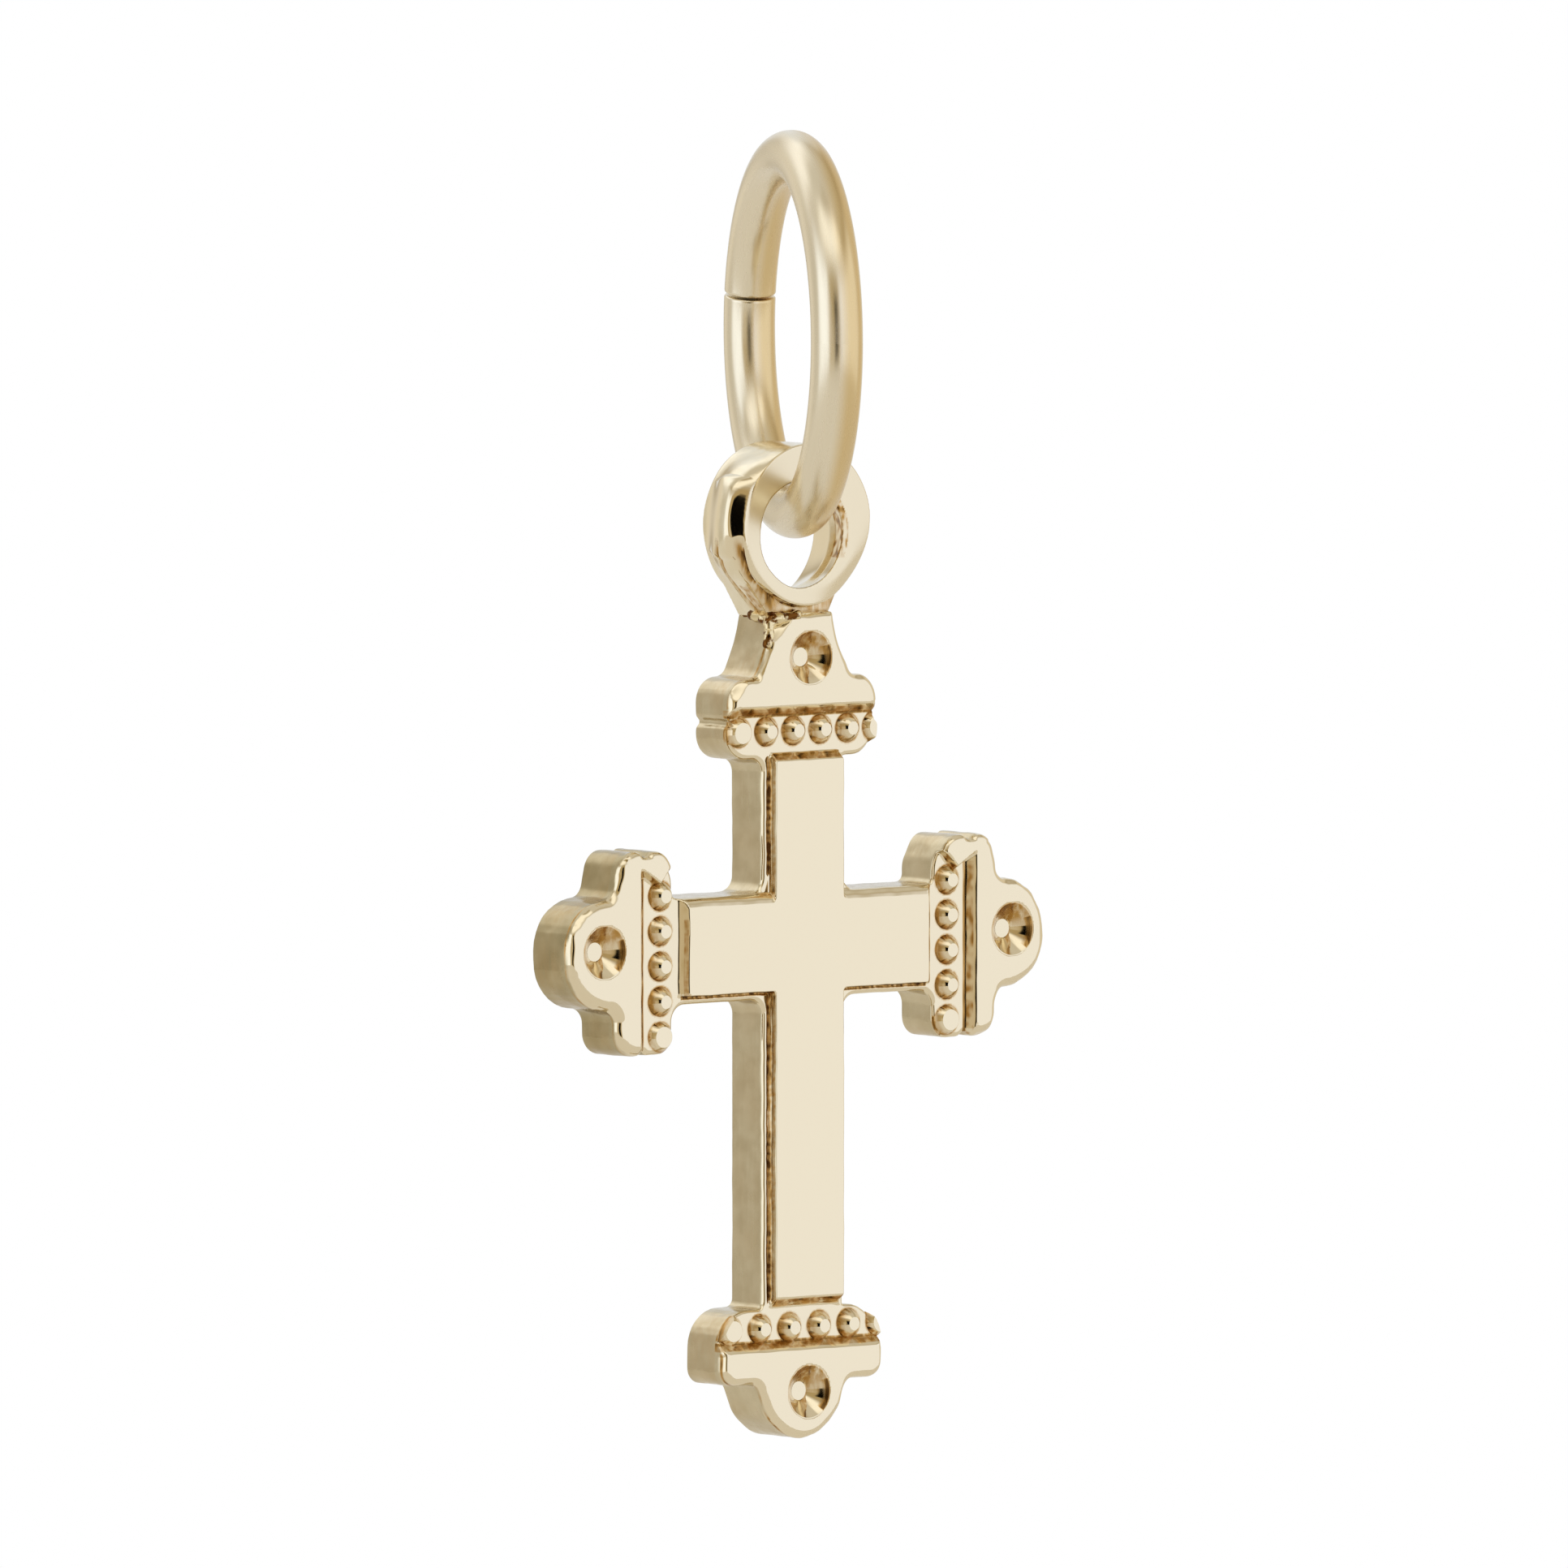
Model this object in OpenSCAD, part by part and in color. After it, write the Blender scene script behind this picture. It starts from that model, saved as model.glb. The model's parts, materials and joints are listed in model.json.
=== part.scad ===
// Cross charm: a small cast cross with budded ends, a bail loop soldered to its top,
// and a split jump ring of round wire that passes through the loop.
// Origin: the hang point, inside the top of the jump ring. Z is up, the front faces -Y.

/* [Jump ring] */
// Outside diameter of the jump ring
ring_od = 7.2; // [6.8:0.1:7.6]
// Diameter of its round wire
wire_d = 0.92; // [0.84:0.02:0.92]
// Turn of the ring's plane from the cross's front-to-back direction, degrees
ring_turn = 25.8; // [20:0.2:26]
// Height of the split above the ring's centre, degrees round the ring
split_at = 10; // [0:1:60]
// Width of the split between the two butted ends
split_gap = 0.06; // [0.04:0.01:0.2]

/* [Bail loop] */
// Outside radius of the flat loop
loop_r = 1.44; // [1.44:0.01:1.5]
// Radius of the hole that the ring passes through
hole_r = 0.98; // [0.96:0.01:1.0]
// Thickness of the loop, front to back
loop_t = 1.2; // [1.1:0.01:1.2]
// Softening of the hole's front rim
rim_soft = 0.06; // [0.03:0.01:0.08]
// How much wider the hole is at the back, where the ring's wire curves upwards
hole_flare = 0.26; // [0.24:0.01:0.27]
// Depth over which the hole widens
flare_depth = 0.7; // [0.6:0.02:0.7]
// Softening of the loop's outer rims
loop_soft = 0.06; // [0.04:0.01:0.07]
// Height from the arms' centre line to the loop's centre
loop_rise = 7.35; // [7.3:0.01:7.4]

/* [Cross] */
// Half width of the upright, wall to wall
upright_half = 0.92; // [0.8:0.02:1.0]
// Half height of the cross bar, wall to wall
bar_half = 0.94; // [0.84:0.02:1.04]
// Thickness from the flat back to the ledge round the arms
base_t = 0.87; // [0.8:0.01:1.0]
// Height of the raised face above the ledge
relief_h = 0.18; // [0.15:0.01:0.25]
// Half width of the raised face on the arms
face_half = 0.78; // [0.7:0.02:0.82]
// Rounding where two arms meet
crotch_r = 0.28; // [0.1:0.02:0.4]

/* [Budded ends] */
// Centre line of the beads on the side ends, from the centre of the cross
side_band = 3.3; // [3.2:0.05:3.4]
// Centre line of the beads on the top end
top_band = 3.72; // [3.6:0.02:3.8]
// Centre line of the beads on the bottom end
foot_band = 6.82; // [6.7:0.02:6.9]
// Radius of a bead at its foot
bead_r = 0.25; // [0.2:0.01:0.27]
// Radius of a bead's flat top
bead_top_r = 0.13; // [0.08:0.01:0.16]
// Distance between beads on the side and top ends
bead_pitch = 0.62; // [0.6:0.01:0.64]
// Distance between beads on the bottom end
foot_bead_pitch = 0.68; // [0.64:0.01:0.7]
// Radius of a drilled dimple at the face
dimple_r = 0.46; // [0.4:0.01:0.5]
// Radius of a dimple's flat floor
dimple_floor_r = 0.17; // [0.1:0.01:0.25]
// Depth of a dimple
dimple_h = 0.3; // [0.2:0.02:0.4]

/* [Hidden] */
$fn = 96;
eps = 0.02;
arc_steps = 6;
beads = 6;

wire_r = wire_d / 2;
ring_r = ring_od / 2 - wire_r;
ring_z = wire_r - ring_r;
split_angle = split_gap / ring_r * 180 / PI;

// The hole's centre, below the hang point, so that the wire bears on the hole's top
hole_x = -0.16;
hole_z = -6.18;
loop_x = -0.07;
loop_z = hole_z + 0.16;
cross_x = 0.03;
cross_z = loop_z - loop_rise;
face_t = base_t + relief_h;
back_y = 0.605;
// How far the loop's back stands behind the flat back of the cross
loop_proud = 0.075;

// Distance from the arms' centre line to the foot of the loop
top_reach = 5.80;

// The bar and its ends sit a little below the beads' middle, and the top and
// bottom ends lean a little to the left
bar_drop = -0.07;
top_lean = -0.08;
foot_lean = -0.13;

// Half outlines of the ends: distance out from the centre, half width, corner radius
SIDE_END = [
    [2.30, bar_half, 0],
    [3.00, bar_half, 0.30],
    [3.00, 1.80, 0.42],
    [3.60, 1.80, 0.12],
    [3.73, 1.68, 0.08],
    [3.86, 1.80, 0.12],
    [4.36, 1.80, 0.44],
    [4.36, 0.99, 0.26],
    [5.48, 0.885, 0.88],
];
TOP_END = [
    [2.80, upright_half + top_lean, 0],
    [3.23, upright_half + top_lean, 0.26],
    [3.23, 1.67, 0.46],
    [3.79, 1.67, 0.10],
    [3.89, 1.55, 0.07],
    [3.99, 1.67, 0.10],
    [4.67, 1.67, 0.43],
    [4.67, 1.06, 0.24],
    [5.25, 0.80, 1.20],
    [top_reach, 0.66, 0],
];
FOOT_END = [
    [5.90, upright_half + foot_lean, 0],
    [6.48, upright_half + foot_lean, 0.14],
    [6.48, 1.82, 0.66],
    [7.79, 1.82, 0.28],
    [7.79, 1.03, 0.20],
    [8.46, 0.68, 1.20],
    [8.88, 0, 0.45],
];

// How far out the walls of each arm run, under the budded end that hides their tip
arm_side = 2.5;
arm_up = 3.3;
arm_down = 6.55;
// Where the arms' raised face ends, and where each end's raised face begins
side_face = [2.75, 3.85];
top_face = [3.20, 4.15];
foot_face = [6.29, 7.20];
face_crotch_r = 0.08;
// Where the top row of beads sits, right of the centre line
top_row_x = 0.06;
// Longer and wider than any end, for cutting its face out of its outline
reach = 4;
// Dimples: how far out on the sides, and the places of the top and bottom ones
side_dimple = 4.69;
top_dimple = [0.02, 5.0];
foot_dimple = [-0.02, -7.97];

// Foot of the loop: half width and height where it leaves the loop, right and left
loop_foot = [[1.22, -0.75], [-1.19, -0.80]];
// Half width of that foot where it meets the cross
neck_half = 0.69;
// How far it runs into the cross
neck_sink = 0.1;

function flat2(row) = [row[0], row[1]];
function unit(v) = v / norm(v);
function across(a, b) = a.x * b.y - a.y * b.x;

// Points of one rounded corner of a closed outline, row i of [x, y, radius]
function corner(rows, i) =
    let (
        n = len(rows),
        p = flat2(rows[i]),
        r = rows[i][2],
        a = unit(flat2(rows[(i + n - 1) % n]) - p),
        b = unit(flat2(rows[(i + 1) % n]) - p),
        half = acos(a * b) / 2,
        middle = r == 0 ? p : p + unit(a + b) * r / sin(half),
        from = p + a * r / tan(half) - middle,
        start = atan2(from.y, from.x),
        turn = (across(a, b) < 0 ? 1 : -1) * (180 - 2 * half)
    )
    r == 0
        ? [p]
        : [for (k = [0 : arc_steps])
            let (t = start + turn * k / arc_steps) middle + r * [cos(t), sin(t)]];

function rounded(rows) = [for (i = [0 : len(rows) - 1]) each corner(rows, i)];

// A half outline and its mirror image, as one closed outline along +X
function both_sides(half) = concat(
    [for (row = half) [row[0], -row[1], row[2]]],
    [for (i = [len(half) - 1 : -1 : 0]) if (half[i][1] > 0) half[i]]
);

module end_outline(half) {
    polygon(rounded(both_sides(half)));
}

// A plus shape with rounded crotches: half widths, and how far each arm runs
module plus(half_x, half_z, side, up, down, r) {
    top = half_z + bar_drop;
    bottom = -half_z + bar_drop;
    polygon(rounded([
        [side, bottom, 0], [side, top, 0], [half_x, top, r],
        [half_x, up, 0], [-half_x, up, 0], [-half_x, top, r],
        [-side, top, 0], [-side, bottom, 0], [-half_x, bottom, r],
        [-half_x, -down, 0], [half_x, -down, 0], [half_x, bottom, r],
    ]));
}

// Everything that belongs to an end is drawn along +X and turned to its place
module at_ends() {
    for (turn = [0, 180]) translate([0, bar_drop]) rotate(turn) children(0);
    translate([top_lean, 0]) rotate(90) children(1);
    translate([foot_lean, 0]) rotate(-90) children(2);
}

module base_outline() {
    plus(upright_half, bar_half, arm_side, arm_up, arm_down, crotch_r);
    at_ends() {
        end_outline(SIDE_END);
        end_outline(TOP_END);
        end_outline(FOOT_END);
    }
}

// The raised part of an end, past the channel with the beads
module end_face(half, start) {
    intersection() {
        end_outline(half);
        translate([start, -reach]) square([2 * reach, 2 * reach]);
    }
}

module face_outline() {
    plus(face_half, face_half, side_face[0], top_face[0], foot_face[0], face_crotch_r);
    at_ends() {
        end_face(SIDE_END, side_face[1]);
        end_face(TOP_END, top_face[1]);
        end_face(FOOT_END, foot_face[1]);
    }
}

module bead_row(out, pitch) {
    for (i = [0 : beads - 1])
        translate([out, (i - (beads - 1) / 2) * pitch, base_t - eps])
            cylinder(r1 = bead_r, r2 = bead_top_r, h = relief_h + eps);
}

module bead_rows() {
    for (turn = [0, 180]) rotate(turn) bead_row(side_band, bead_pitch);
    translate([top_row_x, 0]) rotate(90) bead_row(top_band, bead_pitch);
    rotate(-90) bead_row(foot_band, foot_bead_pitch);
}

module dimple(place) {
    translate([place.x, place.y, face_t - dimple_h])
        cylinder(r1 = dimple_floor_r, r2 = dimple_r, h = dimple_h);
    translate([place.x, place.y, face_t - eps / 2]) cylinder(r = dimple_r, h = eps);
}

module cast_cross() {
    difference() {
        union() {
            linear_extrude(base_t) base_outline();
            linear_extrude(face_t) face_outline();
            intersection() {
                bead_rows();
                linear_extrude(face_t) base_outline();
            }
        }
        for (side = [-1, 1]) dimple([side * side_dimple, 0]);
        dimple(top_dimple);
        dimple(foot_dimple);
    }
}

// A disc with both rims softened
module soft_disc(r, t, soft) {
    cylinder(r1 = r - soft, r2 = r, h = soft);
    translate([0, 0, soft]) cylinder(r = r, h = t - 2 * soft);
    translate([0, 0, t - soft]) cylinder(r1 = r, r2 = r - soft, h = soft);
}

// The hole, flared towards the back and softened at the front
module flared_hole(r, t) {
    slope = hole_flare / flare_depth;
    translate([0, 0, -eps]) cylinder(r = r, h = t + 2 * eps);
    translate([0, 0, -eps])
        cylinder(r1 = r + hole_flare + eps * slope, r2 = r, h = flare_depth + eps);
    translate([0, 0, t - rim_soft])
        cylinder(r1 = r, r2 = r + rim_soft + eps, h = rim_soft + eps);
}

// The flat loop, its foot spreading into the top of the cross
module bail_loop() {
    neck_z = top_reach - neck_sink - loop_rise;
    difference() {
        union() {
            soft_disc(loop_r, loop_t, loop_soft);
            translate([0, 0, loop_soft])
                linear_extrude(loop_t - 2 * loop_soft)
                    polygon([
                        loop_foot[1], loop_foot[0],
                        [neck_half, neck_z], [-neck_half, neck_z],
                    ]);
        }
        translate([hole_x - loop_x, hole_z - loop_z, 0]) flared_hole(hole_r, loop_t);
    }
}

// Stands what is drawn flat, front up, with its front towards -Y
module stand_up() {
    rotate([90, 0, 0]) children();
}

module jump_ring() {
    color("#d9c79a")
        translate([0, 0, ring_z])
            rotate([90, 0, 90 - ring_turn])
                rotate(split_at)
                    rotate_extrude(angle = 360 - split_angle)
                        translate([ring_r, 0]) circle(wire_r);
}

module cross_pendant() {
    color("#ecdcb6") {
        translate([cross_x, back_y, cross_z]) stand_up() cast_cross();
        translate([loop_x, back_y + loop_proud, loop_z]) stand_up() bail_loop();
    }
}

jump_ring();
cross_pendant();
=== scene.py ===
"""Looks of a small cast cross charm that hangs on a split wire ring.

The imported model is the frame. Each piece is modelled on a bench in millimetres, x to
the right, y up and z out of the front of the cross, and is then stood up in its place
in metres, where the joint and the mounts of the frame say.
"""

from __future__ import annotations

import json
import logging
import math
from collections.abc import Callable
from dataclasses import dataclass
from enum import Enum

import bpy
from mathutils import Matrix, Vector, noise

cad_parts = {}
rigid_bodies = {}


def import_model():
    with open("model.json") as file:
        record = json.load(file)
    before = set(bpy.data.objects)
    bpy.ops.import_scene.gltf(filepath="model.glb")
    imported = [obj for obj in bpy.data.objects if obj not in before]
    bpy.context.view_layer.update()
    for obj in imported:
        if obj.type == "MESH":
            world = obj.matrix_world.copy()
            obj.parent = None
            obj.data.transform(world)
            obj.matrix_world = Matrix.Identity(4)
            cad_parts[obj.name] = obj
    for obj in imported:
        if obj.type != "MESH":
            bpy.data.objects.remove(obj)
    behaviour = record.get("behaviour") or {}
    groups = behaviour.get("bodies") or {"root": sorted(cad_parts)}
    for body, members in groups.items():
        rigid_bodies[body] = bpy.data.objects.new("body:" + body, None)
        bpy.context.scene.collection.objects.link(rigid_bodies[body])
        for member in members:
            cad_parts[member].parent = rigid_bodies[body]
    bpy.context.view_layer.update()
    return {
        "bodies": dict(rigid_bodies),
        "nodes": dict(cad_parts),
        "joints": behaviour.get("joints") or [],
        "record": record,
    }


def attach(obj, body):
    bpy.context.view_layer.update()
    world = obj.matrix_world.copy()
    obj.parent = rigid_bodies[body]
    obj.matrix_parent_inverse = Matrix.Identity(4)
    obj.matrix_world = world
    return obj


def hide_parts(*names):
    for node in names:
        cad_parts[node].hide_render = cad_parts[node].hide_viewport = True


LOG = logging.getLogger("charm")
MM = 0.001
SEED = 5

Obj = bpy.types.Object
Node = bpy.types.Node
Point = tuple[float, float]
Row = tuple[float, float, float]
Rows = tuple[Row, ...]
Colour = tuple[float, float, float, float]


class Body(Enum):
    """Bodies of the frame that a piece can ride on."""

    RING = "ring"
    PENDANT = "pendant"


class Cut(Enum):
    """Which part of an object a boolean keeps, by where it lies from the cutter."""

    OUTSIDE = "DIFFERENCE"
    INSIDE = "INTERSECT"


def linear(code: str, strength: float = 1.0) -> Colour:
    """Turns an sRGB hex code into linear colour.

    Args:
        code: Six hex digits, without a sign before them.
        strength: What the colour is multiplied by.

    Returns:
        Red, green, blue and alpha.
    """
    parts = [int(code[i : i + 2], 16) / 255 for i in (0, 2, 4)]
    rgb = [c / 12.92 if c <= 0.04045 else ((c + 0.055) / 1.055) ** 2.4 for c in parts]
    return (rgb[0] * strength, rgb[1] * strength, rgb[2] * strength, 1.0)


def rounded(rows: list[Row], steps: int = 8) -> list[Point]:
    """Rounds the corners of a closed outline.

    Args:
        rows: Corners as x, y and radius. A radius of 0 keeps the corner sharp.
        steps: Steps along each rounded corner.

    Returns:
        Points round the outline.
    """
    out: list[Point] = []
    for i, (x, y, radius) in enumerate(rows):
        here = Vector((x, y))
        if radius == 0:
            out.append((x, y))
            continue
        before = (Vector(rows[i - 1][:2]) - here).normalized()
        after = (Vector(rows[(i + 1) % len(rows)][:2]) - here).normalized()
        half = math.acos(max(-1.0, min(1.0, before.dot(after)))) / 2
        middle = here + (before + after).normalized() * (radius / math.sin(half))
        first = here + before * (radius / math.tan(half)) - middle
        start = math.atan2(first.y, first.x)
        way = 1 if before.x * after.y - before.y * after.x < 0 else -1
        turn = way * (math.pi - 2 * half)
        for k in range(steps + 1):
            angle = start + turn * k / steps
            out.append((middle.x + radius * math.cos(angle), middle.y + radius * math.sin(angle)))
    return out


def circle(radius: float, steps: int) -> list[Point]:
    """Gives the points round a circle, from +X towards +Y."""
    turn = math.tau / steps
    return [(radius * math.cos(i * turn), radius * math.sin(i * turn)) for i in range(steps)]


def clamp(value: float) -> float:
    """Keeps a value between 0 and 1."""
    return min(1.0, max(0.0, value))


def at_front(face: bpy.types.MeshPolygon) -> bool:
    """Says whether a face of a piece on the bench looks out of the front."""
    return face.normal.z > 0.99


class Bench:
    """Modelling steps, each on one object, with everything else deselected."""

    @staticmethod
    def pick(*objs: Obj) -> None:
        """Selects these objects alone and makes the first one active.

        Args:
            objs: What to select.
        """
        bpy.ops.object.select_all(action="DESELECT")
        for obj in objs:
            obj.select_set(True)
        bpy.context.view_layer.objects.active = objs[0]

    @staticmethod
    def edit(obj: Obj) -> None:
        """Opens edit mode on an object, with all of it selected.

        Args:
            obj: The object.
        """
        Bench.pick(obj)
        bpy.ops.object.mode_set(mode="EDIT")
        bpy.ops.mesh.select_mode(type="FACE")
        bpy.ops.mesh.select_all(action="SELECT")

    @staticmethod
    def done() -> None:
        """Leaves edit mode."""
        bpy.ops.object.mode_set(mode="OBJECT")

    @staticmethod
    def close_up() -> None:
        """Turns all faces of the solid in edit mode outwards and leaves edit mode."""
        bpy.ops.mesh.select_all(action="SELECT")
        bpy.ops.mesh.normals_make_consistent(inside=False)
        Bench.done()

    @staticmethod
    def sheet(name: str, outline: list[Point], level: float) -> Obj:
        """Makes one flat face from an outline.

        Args:
            name: Name of the object.
            outline: Points round the face.
            level: Height of the face.

        Returns:
            The new object.
        """
        bpy.ops.object.select_all(action="DESELECT")
        bpy.ops.mesh.primitive_circle_add(vertices=len(outline), radius=1, fill_type="NGON")
        obj = bpy.context.active_object
        obj.name = name
        for vertex, (x, y) in zip(obj.data.vertices, outline):
            vertex.co = (x, y, level)
        return obj

    @staticmethod
    def prism(name: str, outline: list[Point], low: float, high: float) -> Obj:
        """Extrudes an outline between two heights.

        Args:
            name: Name of the object.
            outline: Points round the prism.
            low: Height of the back.
            high: Height of the front.

        Returns:
            The closed prism.
        """
        obj = Bench.sheet(name, outline, low)
        Bench.edit(obj)
        bpy.ops.mesh.extrude_region_move(TRANSFORM_OT_translate={"value": (0, 0, high - low)})
        Bench.close_up()
        return obj

    @staticmethod
    def lathe(name: str, rows: list[Point], steps: int = 128) -> Obj:
        """Raises a round solid by extruding a circle from height to height.

        Args:
            name: Name of the object.
            rows: Radius and height, from the back to the front.
            steps: Steps round the circle.

        Returns:
            The closed solid, its axis along z at the origin.
        """
        radius, level = rows[0]
        obj = Bench.sheet(name, circle(radius, steps), level)
        Bench.edit(obj)
        for wider, higher in rows[1:]:
            move = {"value": (0, 0, higher - level)}
            bpy.ops.mesh.extrude_region_move(TRANSFORM_OT_translate=move)
            scale = wider / radius
            bpy.ops.transform.resize(value=(scale, scale, 1), center_override=(0, 0, 0))
            radius, level = wider, higher
        Bench.close_up()
        return obj

    @staticmethod
    def soften(
        obj: Obj, wanted: Callable[[bpy.types.MeshPolygon], bool], width: float, steps: int = 3
    ) -> None:
        """Rounds the border of some of an object's faces.

        Args:
            obj: The object.
            wanted: Says whether a face is one of them.
            width: Width of the rounding.
            steps: Segments across it.
        """
        Bench.edit(obj)
        bpy.ops.mesh.select_all(action="DESELECT")
        Bench.done()
        for face in obj.data.polygons:
            face.select = wanted(face)
        bpy.ops.object.mode_set(mode="EDIT")
        bpy.ops.mesh.region_to_loop()
        bpy.ops.mesh.bevel(
            offset=width,
            offset_type="OFFSET",
            segments=steps,
            profile=0.5,
            affect="EDGES",
            clamp_overlap=False,
        )
        Bench.done()

    @staticmethod
    def slice(obj: Obj, point: Row, away: Vector) -> None:
        """Cuts an object by a plane and closes the cut.

        Args:
            obj: The object.
            point: A point on the plane.
            away: Normal of the plane, towards the part that goes.
        """
        Bench.edit(obj)
        bpy.ops.mesh.bisect(
            plane_co=point,
            plane_no=away.normalized(),
            use_fill=True,
            clear_outer=True,
        )
        Bench.done()

    @staticmethod
    def apply(obj: Obj, kind: str, **settings: object) -> None:
        """Gives an object one modifier and applies it.

        Args:
            obj: The object.
            kind: Type of the modifier.
            settings: The modifier's own properties.
        """
        modifier = obj.modifiers.new(kind, kind)
        for key, value in settings.items():
            setattr(modifier, key, value)
        Bench.pick(obj)
        bpy.ops.object.modifier_apply(modifier=modifier.name)

    @staticmethod
    def combine(obj: Obj, cutter: Obj, keep: Cut) -> None:
        """Cuts an object exactly by a cutter, which is used up."""
        Bench.apply(obj, "BOOLEAN", operation=keep.value, solver="EXACT", object=cutter)
        bpy.data.objects.remove(cutter, do_unlink=True)

    @staticmethod
    def turn(obj: Obj, degrees: float, shift: Point) -> Obj:
        """Turns a mesh about z and then shifts it.

        Args:
            obj: The object.
            degrees: How far it turns.
            shift: Where its origin goes.

        Returns:
            The same object.
        """
        move = Matrix.Translation((shift[0], shift[1], 0))
        obj.data.transform(move @ Matrix.Rotation(math.radians(degrees), 4, "Z"))
        return obj

    @staticmethod
    def join(name: str, parts: list[Obj]) -> Obj:
        """Joins several objects into one mesh.

        Args:
            name: Name of the result.
            parts: What to join.

        Returns:
            The joined object.
        """
        Bench.pick(*parts)
        bpy.ops.object.join()
        obj = bpy.context.active_object
        obj.name = name
        Bench.pick(obj)
        bpy.ops.object.transform_apply(location=True, rotation=True, scale=True)
        return obj

    @staticmethod
    def melt(obj: Obj, voxel: float) -> None:
        """Melts overlapping solids into one skin with a mesh of this size."""
        Bench.apply(obj, "REMESH", mode="VOXEL", voxel_size=voxel)

    @staticmethod
    def polish(obj: Obj, passes: int) -> None:
        """Smooths a whole skin a little, as a polishing wheel does, and shades it smooth."""
        Bench.apply(obj, "SMOOTH", factor=0.5, iterations=passes)
        bpy.ops.object.shade_smooth()

    @staticmethod
    def shade(obj: Obj, crease: float = 36.0) -> None:
        """Shades an object smooth, but for edges that turn by more degrees than the crease."""
        Bench.pick(obj)
        bpy.ops.object.shade_smooth_by_angle(angle=math.radians(crease))

    @staticmethod
    def cut_flat(obj: Obj, point: Vector, away: Vector) -> None:
        """Cuts a skin off flat, with a crisp edge round the cut.

        Args:
            obj: The object.
            point: A point on the plane.
            away: Normal of the plane, towards the part that goes.
        """
        Bench.slice(obj, tuple(point), away)
        level = point.dot(away)
        mesh = obj.data
        on_cut = [abs(vertex.co.dot(away) - level) < 1e-4 for vertex in mesh.vertices]
        for face in mesh.polygons:
            if face.normal.dot(away) > 0.99 and on_cut[face.vertices[0]]:
                face.use_smooth = False
        for edge in mesh.edges:
            if on_cut[edge.vertices[0]] and on_cut[edge.vertices[1]]:
                edge.use_edge_sharp = True

    @staticmethod
    def copy(obj: Obj, name: str) -> Obj:
        """Copies an object with its own mesh.

        Args:
            obj: What to copy.
            name: Name of the copy.

        Returns:
            The copy.
        """
        Bench.pick(obj)
        bpy.ops.object.duplicate(linked=False)
        twin = bpy.context.active_object
        twin.name = name
        return twin

    @staticmethod
    def sculpt(obj: Obj, push: Callable[[Vector], Vector]) -> None:
        """Moves every point of a skin, as by hand.

        Args:
            obj: The object.
            push: Gives the move of a point from where it is.
        """
        for vertex in obj.data.vertices:
            vertex.co += push(vertex.co)
        obj.data.update()

    @staticmethod
    def mark(obj: Obj, name: str, amount: Callable[[Vector], float]) -> None:
        """Writes a number on every point, for the material to read.

        Args:
            obj: The object.
            name: Name of the attribute.
            amount: Gives the number from where the point is.
        """
        layer = obj.data.attributes.new(name, "FLOAT", "POINT")
        for vertex, item in zip(obj.data.vertices, layer.data):
            item.value = amount(vertex.co)

    @staticmethod
    def stand(obj: Obj, place: Vector) -> None:
        """Stands a finished mesh up in metres, its front towards -Y.

        Args:
            obj: The object, modelled in millimetres.
            place: Where the bench's origin goes, in metres.
        """
        up = Matrix.Rotation(math.radians(90), 4, "X")
        obj.data.transform(Matrix.Translation(place) @ up @ Matrix.Scale(MM, 4))
        obj.data.update()


class Shader:
    """The node tree of a material or a world, with one small way to add a node."""

    def __init__(self, owner: bpy.types.Material | bpy.types.World) -> None:
        """Starts with an empty tree.

        Args:
            owner: The material or the world.
        """
        owner.use_nodes = True
        self.owner = owner
        self.tree = owner.node_tree
        self.tree.nodes.clear()

    def add(self, kind: str, links: dict | None = None, **settings: object) -> Node:
        """Adds a node with its settings, values and links.

        Args:
            kind: Type of the node, without the ShaderNode in front.
            links: Input name or number, with its value or the node or socket that feeds it.
            settings: The node's own properties.

        Returns:
            The new node.
        """
        made = self.tree.nodes.new("ShaderNode" + kind)
        for key, value in settings.items():
            setattr(made, key, value)
        for key, value in (links or {}).items():
            if isinstance(value, Node):
                value = value.outputs[0]
            if isinstance(value, bpy.types.NodeSocket):
                self.tree.links.new(value, made.inputs[key])
            else:
                made.inputs[key].default_value = value
        return made


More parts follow.
